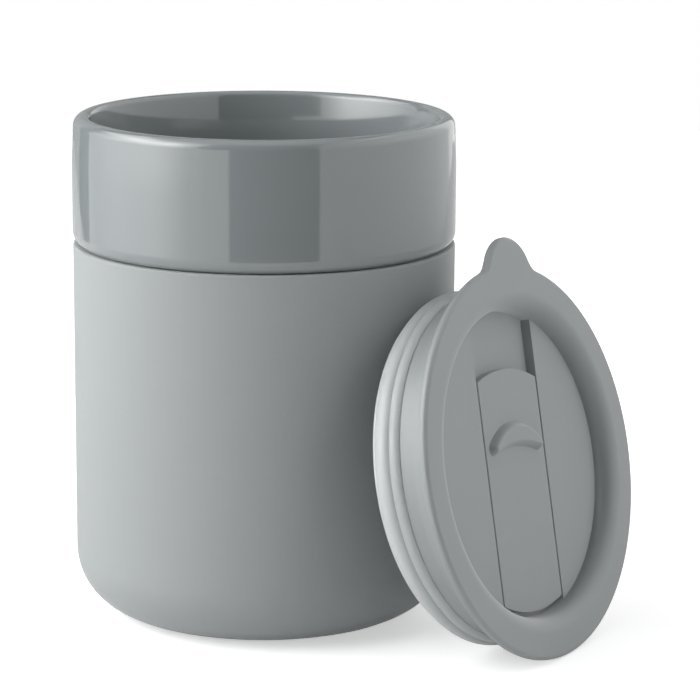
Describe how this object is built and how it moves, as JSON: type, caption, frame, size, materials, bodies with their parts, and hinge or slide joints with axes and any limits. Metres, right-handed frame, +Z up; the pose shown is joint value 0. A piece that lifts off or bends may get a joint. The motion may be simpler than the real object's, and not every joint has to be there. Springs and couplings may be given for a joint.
{
  "type": "lidded mug",
  "caption": "Glazed ceramic travel mug in a silicone sleeve, with a press-in plastic lid with a seal ring and a sip slider; the lid is off and leans on the mug.",
  "frame": {"origin": "centre of the sleeve's flat base, on the surface that the mug stands on", "axes": "+Z up along the mug's axis, -Y towards the viewer of the picture, the lid leans at the front right (+X, -Y)"},
  "size_m": [0.1252, 0.1135, 0.1116],
  "materials": {
    "sleeve_silicone": "matte grey silicone",
    "glaze": "smooth glossy grey glaze",
    "lid_plastic": "satin grey polypropylene",
    "slider_plastic": "satin grey polypropylene",
    "gasket_silicone": "milky translucent silicone"
  },
  "bodies": {
    "sleeve": {"silicone_sleeve": "sleeve_silicone"},
    "cup": {"ceramic_cup": "glaze"},
    "lid": {"lid_body": "lid_plastic", "lid_gasket": "gasket_silicone"},
    "slider": {"lid_slider": "slider_plastic"}
  },
  "joints": [
    {"name": "cup_lift", "type": "slide", "parent": "sleeve", "child": "cup", "axis": [0, 0, 1], "range_m": [0, 0.09]},
    {"name": "lid_lift", "type": "slide", "parent": "sleeve", "child": "lid", "axis": [0, 0, 1], "range_m": [0, 0.12]},
    {"name": "slider_slide", "type": "slide", "parent": "lid", "child": "slider", "axis": [-0.1203, 0.2386, 0.9636], "range_m": [0, 0.0116]}
  ]
}
